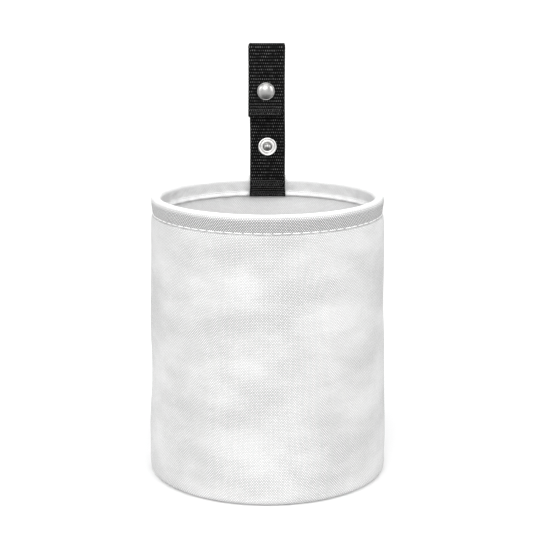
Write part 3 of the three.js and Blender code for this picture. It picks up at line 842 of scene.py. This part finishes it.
def side_seam_tape():
    """Tape inside the wall behind the two edges of the seam, its edges a little raised."""
    gap = 0.1 * MM
    half_width = 7 * MM
    rows = spaced(SEAM_TAPE_LOW, SEAM_TAPE_HIGH, 1.6 * MM)
    columns = np.linspace(-half_width, half_width, 15)
    offset, height = np.meshgrid(columns, rows)
    azimuth = SEAM_AZIMUTH + offset / WALL_ACROSS
    place, facing = cloth_place(azimuth, seam_travel(height))
    wander = 0.2 * MM * np.sin(height / (9 * MM)) * np.sin(height / (23 * MM))
    edge = 0.12 * MM * ease(np.abs(offset), half_width - 1.5 * MM, half_width)
    depth = CLOTH / 2 + gap + edge
    side = np.stack([-np.sin(azimuth), np.cos(azimuth), 0 * azimuth], axis=-1) * wander[..., None]
    near = place - facing * depth[..., None] + side
    far = near - facing * TAPE
    uv = np.stack([offset, height], axis=-1)
    return two_sided("side_seam_cover", near, far, uv, WHITE_TAPE)


SEAM_TO_ROW = 3.5 * MM  # from the side seam to the stitches on each side of it


def side_seam_stitches(name, offset):
    """A row beside the seam, as stitches on the outside of the wall and on the tape inside it."""
    threads = Threads()
    pitch = 5.6 * MM
    depth_inside = -(CLOTH / 2 + TAPE + 0.1 * MM)
    azimuth = SEAM_AZIMUTH + offset / WALL_ACROSS
    for height in np.arange(SEAM_TAPE_LOW + 3 * MM, SEAM_TAPE_HIGH - 3 * MM, pitch):
        for side, depth in ((1, CLOTH / 2), (-1, depth_inside)):
            middle = height + (pitch / 2 if side < 0 else 0)
            points = []
            for share, lift in SEAM_STITCH:
                travel = seam_travel(np.array(middle + share * pitch))
                place, facing = cloth_place(np.array(azimuth), travel)
                points.append(place + facing * (depth + side * lift * THREAD))
            threads.add(np.array(points), THREAD * dice.uniform(0.94, 1.06))
    return threads.piece(name, WHITE_THREAD)


def rim_rod():
    """The plain rod inside the hem, bent into a ring."""
    rings, sides = 240, 18
    turn = np.linspace(0, 2 * math.pi, rings + 1)[:-1, None]
    angle = np.linspace(0, 2 * math.pi, sides + 1)[:-1] + 0 * turn
    radius, height = HOOP_RING + HOOP_ROD * np.cos(angle), HOOP_Z + HOOP_ROD * np.sin(angle)
    vertices = round_the_bag(turn, radius, height)
    faces = []
    for ring in range(rings):
        for side in range(sides):
            here, beside = ring * sides + side, ring * sides + (side + 1) % sides
            step = ((ring + 1) % rings - ring) * sides
            faces.append([here, here + step, beside + step, beside])
    return new_piece("rim_rod", vertices.reshape(-1, 3), faces, HOOP_ROD_PLASTIC)


# ---- the strap

FOOT_Y = REAR_Y + 3.7 * MM  # the sewn end's middle, where it lies flat on the hem
HEM_FACE = FOOT_Y + WEBBING / 2 + 0.3 * MM
LEAN_START = STITCH_Z - 0.6 * MM  # from here the strap leans in, to stand clear of the rolled rim
LEAN_END = HOOP_Z - 0.9 * MM
FLAP_TURN_UNDER = 10.7 * MM  # how far the flap's end is turned up behind it
FIRST_JOIN_Z = LOWER_STUD.z  # the lengths of webbing meet where the strap doesn't bend
SECOND_JOIN_Z = UPPER_STUD.z + 4 * RIB  # on the rear layer, and again on the flap


def strap_line():
    """Middle of the whole strap, (y, z) from its foot inside the hem to its turned-under end."""
    turn = WEBBING / 2 + 0.15 * MM
    behind = FRONT_Y + 2 * turn
    points = [
        (FOOT_Y, HEM_EDGE_Z - STRAP_OVERHANG),
        (FOOT_Y, LEAN_START),
        (REAR_Y, LEAN_END),
        (REAR_Y, LEAN_END + 6 * MM),
        (REAR_Y, CROWN_Z - 8 * MM),
        *arc((REAR_Y - CROWN, CROWN_Z), CROWN, 0, 180, 8),
        (FRONT_Y, CROWN_Z - 8 * MM),
        (FRONT_Y, FLAP_LOW + 6 * MM),
        *arc((FRONT_Y + turn, FLAP_LOW + WEBBING), turn * 1.05, 180, 360, 8),
        (behind, FLAP_LOW + 6 * MM),
        (behind, FLAP_LOW + FLAP_TURN_UNDER),
    ]
    return rounded(points, 2)


STRAP_LINE = strap_line()
STRAP_TRAVEL = distances(STRAP_LINE)
STRAP_HIGHEST = int(np.argmax(STRAP_LINE[:, 1]))
FLAP_LOWEST = STRAP_HIGHEST + int(np.argmin(STRAP_LINE[STRAP_HIGHEST:, 1]))
CROWN_TRAVEL = float(STRAP_TRAVEL[STRAP_HIGHEST])


def rear_travel(height):
    """How far along the strap a height of its rear layer is."""
    rear = slice(0, STRAP_HIGHEST)
    return float(np.interp(height, STRAP_LINE[rear, 1], STRAP_TRAVEL[rear]))


def flap_travel(height):
    """How far along the strap a height of its front layer is."""
    flap = slice(STRAP_HIGHEST, FLAP_LOWEST)
    return float(np.interp(-height, -STRAP_LINE[flap, 1], STRAP_TRAVEL[flap]))


def strap_place(across, travel):
    """Middle of the webbing and the direction of its first face, as arrays of points."""
    y, z, out_y, out_z = on_line(STRAP_LINE, STRAP_TRAVEL, travel)
    moved = FLAP_X * np.clip((REAR_Y - y) / (REAR_Y - FRONT_Y), 0, 1)
    flatten = np.clip((HOOP_Z + 5.5 * MM - z) / (4.5 * MM), 0, 1) * (travel < CROWN_TRAVEL)
    bow = flatten * (HEM_FACE - np.sqrt(HEM_FACE**2 - across**2))
    foot = 1 + 0.035 * (1 - ease(travel, 0, 9 * MM))
    sway = 0.18 * MM * np.sin(travel / (17 * MM)) * ease(travel, 20 * MM, 40 * MM)
    place = np.stack([across * foot + moved + sway, y - bow, z + 0 * across], axis=-1)
    facing = np.stack([0 * out_y, out_y, out_z], axis=-1)
    return place, facing


WEBBING_COLUMNS = 31
ROWS_FOR_RIB = 8
RIB_DEPTH = 0.32 * MM


def webbing(name, start, end):
    """A length of the strap with its ribs, thicker edges and slightly scalloped sides."""
    half_width = WEBBING_WIDTH / 2
    columns = half_width * np.sin(np.linspace(-math.pi / 2, math.pi / 2, WEBBING_COLUMNS))
    rows = spaced(start, end, RIB / ROWS_FOR_RIB)
    across, travel = np.meshgrid(columns, rows)
    place, facing = strap_place(across, travel)
    rib = np.abs(np.sin(math.pi * travel / RIB)) ** 0.8
    edge_share = np.clip((np.abs(across) - half_width + 1.1 * MM) / (1.1 * MM), 0, 1)
    edge = np.sqrt(1 - np.clip(edge_share, 0, 0.995) ** 2)
    cord = 0.1 * MM * bump_at(np.abs(across), half_width - 0.9 * MM, 0.5 * MM)
    smooth_fold = 1 - 0.7 * bump_at(travel, CROWN_TRAVEL, 6 * MM)
    ribbed = WEBBING / 2 - 0.1 * MM + RIB_DEPTH * (rib - 0.5) * smooth_fold
    half = (ribbed + cord) * edge + 0.03 * MM
    scallop = 0.12 * MM * (rib - 0.5) * ease(np.abs(across), half_width - 1.5 * MM, half_width)
    place[..., 0] += np.sign(across) * scallop
    thickness = half[..., None] * facing
    uv = np.stack([across, travel], axis=-1)
    return two_sided(name, place + thickness, place - thickness, uv, BLACK_WEBBING)


def rows_across_strap(name, travels, spacing, side, radius):
    """Rows of short black stitches across the strap, staggered from row to row."""
    threads = Threads()
    half = WEBBING_WIDTH / 2 - 1.6 * MM
    for row, travel in enumerate(travels):
        start = -half + (spacing / 2 if row % 2 else 0)
        for middle in np.arange(start, half, spacing):
            wobble = dice.uniform(-0.12, 0.12) * MM
            points = []
            for share, lift in STRAP_STITCH:
                across = np.array(middle + share * spacing)
                place, facing = strap_place(across, np.array(travel + wobble))
                points.append(place + side * facing * (WEBBING / 2 + 0.02 * MM + lift * radius))
            threads.add(np.array(points), radius * dice.uniform(0.9, 1.15))
    return threads.piece(name, BLACK_THREAD)


FIRST_ROW = 1.9 * MM  # from the end of the webbing to the first row across it
ROW_PITCH = 1.85 * MM
ALONG_ROW = 1.6 * MM  # from stitch to stitch


def foot_stitches():
    travels = FIRST_ROW + ROW_PITCH * np.arange(7)
    return rows_across_strap("strap_foot_stitches", travels, ALONG_ROW, 1, 0.28 * MM)


def flap_stitches():
    travels = [flap_travel(FLAP_LOW + FIRST_ROW + ROW_PITCH * row) for row in range(5)]
    return rows_across_strap("flap_end_stitches", travels, ALONG_ROW, -1, 0.24 * MM)


# ---- the press stud
# Outlines are (radius, height) in millimetres, with heights measured out from the face of the webbing
# that each piece lies on.

# A rolled outer ring, a flat flange with a groove, and a hollow knob with a waist.
STUD_OUTLINE = [
    (0, 3.25), (0.7, 3.2), (1.4, 3.0), (2.0, 2.65), (2.35, 2.2), (2.4, 1.8), (2.2, 1.4),
    (2.1, 0.7), (2.4, 0.3), (2.8, 0.3), (3.0, 0.7), (3.3, 0.98), (3.9, 1.02), (4.6, 1.0),
    (4.8, 0.72), (5.0, 0.72), (5.15, 1.0), (5.5, 1.28), (5.95, 1.36), (6.35, 1.15), (6.5, 0.75),
    (6.4, 0.3), (6.1, 0.08), (4, 0.06), (0, 0.06),
]

# A low smooth dome with a thin turned rim.
CAP_OUTLINE = [
    *(arc((0, 0), 1, 90, 12, 16) * (5.75, 2.6) + (0, 0.35)),
    (5.7, 0.86), (5.8, 0.8), (5.95, 0.86), (6.08, 0.75), (6.12, 0.5), (6.0, 0.2), (5.7, 0.06),
    (3, 0.05), (0, 0.05),
]

# A cup with a rolled lip whose hole takes the stud's knob.
SOCKET_OUTLINE = [
    (0, 0.7), (2.4, 0.7), (3.0, 0.9), (3.25, 1.3), (3.28, 1.9), (3.9, 2.0), (3.9, 2.8),
    (3.2, 2.86), (3.25, 3.1), (3.6, 3.22), (4.6, 3.1), (5.4, 2.95), (5.9, 2.5), (6.0, 1.6),
    (5.95, 0.6), (5.6, 0.12), (4, 0.06), (0, 0.06),
]

# The rivet's head behind the strap: a shallow dished disc with a rolled edge.
POST_OUTLINE = [
    (0, 0.15), (0.8, 0.2), (1.3, 0.5), (1.7, 0.9), (2.1, 0.95), (2.6, 0.7), (3.4, 0.5),
    (4.6, 0.45), (5.2, 0.7), (5.6, 0.85), (5.9, 0.6), (6.0, 0.3), (5.8, 0.06), (3, 0.03),
    (0, 0.03),
]


def snap_part(name, outline, middle, y, facing, material=SHADED_NICKEL):
    """A turned part of the press stud on the face at y, in line with the stud's or the cap's middle."""
    scaled = rounded(np.array(outline) * MM, 2)
    return turned(name, scaled, (middle.x, y, middle.z), facing, material)


FORWARD = (0, -1, 0)
BACKWARD = (0, 1, 0)


def spring():
    """An open ring of wire in the socket's groove."""
    wire = 0.28 * MM
    ring = size_of("socket_spring").z / 2 - wire
    turn = np.radians(np.linspace(25, 335, 61))[:, None]
    angle = np.radians(np.arange(0, 360, 36)) + 0 * turn
    radius = ring + wire * np.cos(angle)
    offset = np.stack([radius * np.cos(turn), wire * np.sin(angle), radius * np.sin(turn)], axis=-1)
    vertices = (offset + np.array(middle_of("socket_spring"))).reshape(-1, 3)
    return new_piece("socket_wire", vertices, tube_faces(*angle.shape), SPRING_WIRE)


# ---- pieces, their bodies and CAD nodes


def settle(piece, body, slot, *nodes):
    """The piece rides the body and replaces the CAD nodes. slot is not used."""
    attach(piece, body)
    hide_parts(*nodes)
    return piece


wall = settle(wall_panel(), "bag", "white_cloth", "wall_panel")
base = settle(base_panel(), "bag", "white_cloth", "base_panel")
outer_row = ring_of_stitches("hem_stitches_outer", STITCHES, face_of_cloth(OUTER_STITCH))
settle(outer_row, "bag", "white_thread", "hem_stitching_outer")
inner_row = settle(hem_stitches_inner(), "bag", "white_thread", "hem_stitching_inner")
settle(base_binding(), "bag", "white_tape", "base_seam_binding")
settle(base_stitches(), "bag", "white_thread", "base_seam_stitching")
seam_cover = settle(side_seam_tape(), "bag", "white_tape", "side_seam_tape")
front_row = side_seam_stitches("side_seam_stitches_front", SEAM_TO_ROW)
settle(front_row, "bag", "white_thread", "side_seam_stitching_front")
rear_row = side_seam_stitches("side_seam_stitches_rear", -SEAM_TO_ROW)
settle(rear_row, "bag", "white_thread", "side_seam_stitching_rear")
settle(rim_rod(), "bag", "hoop_rod", "rim_hoop")


def whole_ribs(travel):
    """The distance rounded to whole ribs, so that the lengths of webbing meet in a groove."""
    return round(travel / RIB) * RIB


FIRST_JOIN = whole_ribs(rear_travel(FIRST_JOIN_Z))
SECOND_JOIN = whole_ribs(rear_travel(SECOND_JOIN_Z))
THIRD_JOIN = whole_ribs(flap_travel(SECOND_JOIN_Z))


def rear(height):
    return (0, REAR_Y, height)


strap_foot = webbing("strap_foot", 0, FIRST_JOIN)
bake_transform(strap_foot)
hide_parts("strap_sewn_end")

strap_middle = webbing("strap_middle", FIRST_JOIN, SECOND_JOIN)
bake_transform(strap_middle)
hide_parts("strap_webbing_lower", "strap_webbing_upper")

strap_loop = webbing("strap_loop", SECOND_JOIN, THIRD_JOIN)
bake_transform(strap_loop)
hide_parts("strap_webbing_crown")

strap_end = webbing("strap_end", THIRD_JOIN, STRAP_TRAVEL[-1])
settle(strap_end, "strap_flap", "black_webbing", "strap_webbing_flap")

settle(foot_stitches(), "bag", "black_thread", "strap_foot_stitching")
settle(flap_stitches(), "strap_flap", "black_thread", "flap_end_stitching")

for side, middle in (("lower", LOWER_STUD), ("upper", UPPER_STUD)):
    face_name, head_name = side + "_stud_face", side + "_post_head"
    stud = snap_part(face_name, STUD_OUTLINE, middle, REAR_Y - WEBBING / 2, FORWARD, LIT_STUD_NICKEL)
    settle(stud, "strap_" + side, "nickel_plate", side + "_stud")
    post = snap_part(head_name, POST_OUTLINE, middle, REAR_Y + WEBBING / 2, BACKWARD)
    settle(post, "strap_" + side, "nickel_plate", side + "_stud_post")

cap = snap_part("cap_dome", CAP_OUTLINE, CAP_MIDDLE, FRONT_Y - WEBBING / 2, FORWARD)
settle(cap, "strap_flap", "nickel_plate", "snap_cap")
socket = snap_part("socket_cup", SOCKET_OUTLINE, CAP_MIDDLE, FRONT_Y + WEBBING / 2, BACKWARD)
settle(socket, "strap_flap", "nickel_plate", "snap_socket")
settle(spring(), "strap_flap", "spring_wire", "socket_spring")

# ---- the stage


def floor():
    """A plain pale floor out past anything the camera sees."""
    shader = Shader("floor", roughness=0.9)
    soft = shader.noise(shader.object_place(), 3.0, 2.0)
    shader.colour(shader.mix(soft, grey(0.77), grey(0.79)))
    reach = 30.0
    corners = [(-reach, -reach, 0), (reach, -reach, 0), (reach, reach, 0), (-reach, reach, 0)]
    new_piece("floor", corners, [[0, 1, 2, 3]], shader.material)


def soft_sun(name, lean, turn, strength, spread):
    """A broad light far away. lean tips it from straight overhead towards the front, and turn then
    swings it to the right."""
    data = bpy.data.lights.new(name, "SUN")
    data.energy = strength
    data.angle = math.radians(spread)
    light = bpy.data.objects.new(name, data)
    light.rotation_euler = (math.radians(lean), 0, math.radians(turn))
    bpy.context.scene.collection.objects.link(light)


def sky(low, high):
    """Even light all round, which changes from the horizon to overhead."""
    world = bpy.data.worlds.new("studio")
    world.use_nodes = True
    nodes, links = world.node_tree.nodes, world.node_tree.links
    direction = nodes.new("ShaderNodeTexCoord")
    split = nodes.new("ShaderNodeSeparateXYZ")
    ramp = nodes.new("ShaderNodeMapRange")
    links.new(direction.outputs["Generated"], split.inputs[0])
    links.new(split.outputs["Z"], ramp.inputs["Value"])
    ramp.inputs["To Min"].default_value = low
    ramp.inputs["To Max"].default_value = high
    nodes["Background"].inputs["Color"].default_value = (1, 1, 1, 1)
    links.new(ramp.outputs[0], nodes["Background"].inputs["Strength"])
    bpy.context.scene.world = world


floor()
sky(1.0, 0.25)
soft_sun("left_light", 68, -58, 1.25, 36)
soft_sun("front_light", 68, -6, 1.35, 26)
soft_sun("right_light", 68, 58, 1.35, 36)
soft_sun("overhead_light", 18, 0, 1.6, 60)
soft_sun("rear_light", -48, 0, 0.7, 60)

LOOK_DOWN = 0.2286  # radians below level
camera_data = bpy.data.cameras.new("camera")
camera_data.lens = 100.2
camera_data.sensor_width = 36
camera = bpy.data.objects.new("camera", camera_data)
camera.location = (-0.7 * MM, -0.979, 0.3684)
camera.rotation_euler = (math.pi / 2 - LOOK_DOWN, 0, 0)
bpy.context.scene.collection.objects.link(camera)
bpy.context.scene.camera = camera
bpy.context.scene.view_settings.view_transform = "Standard"
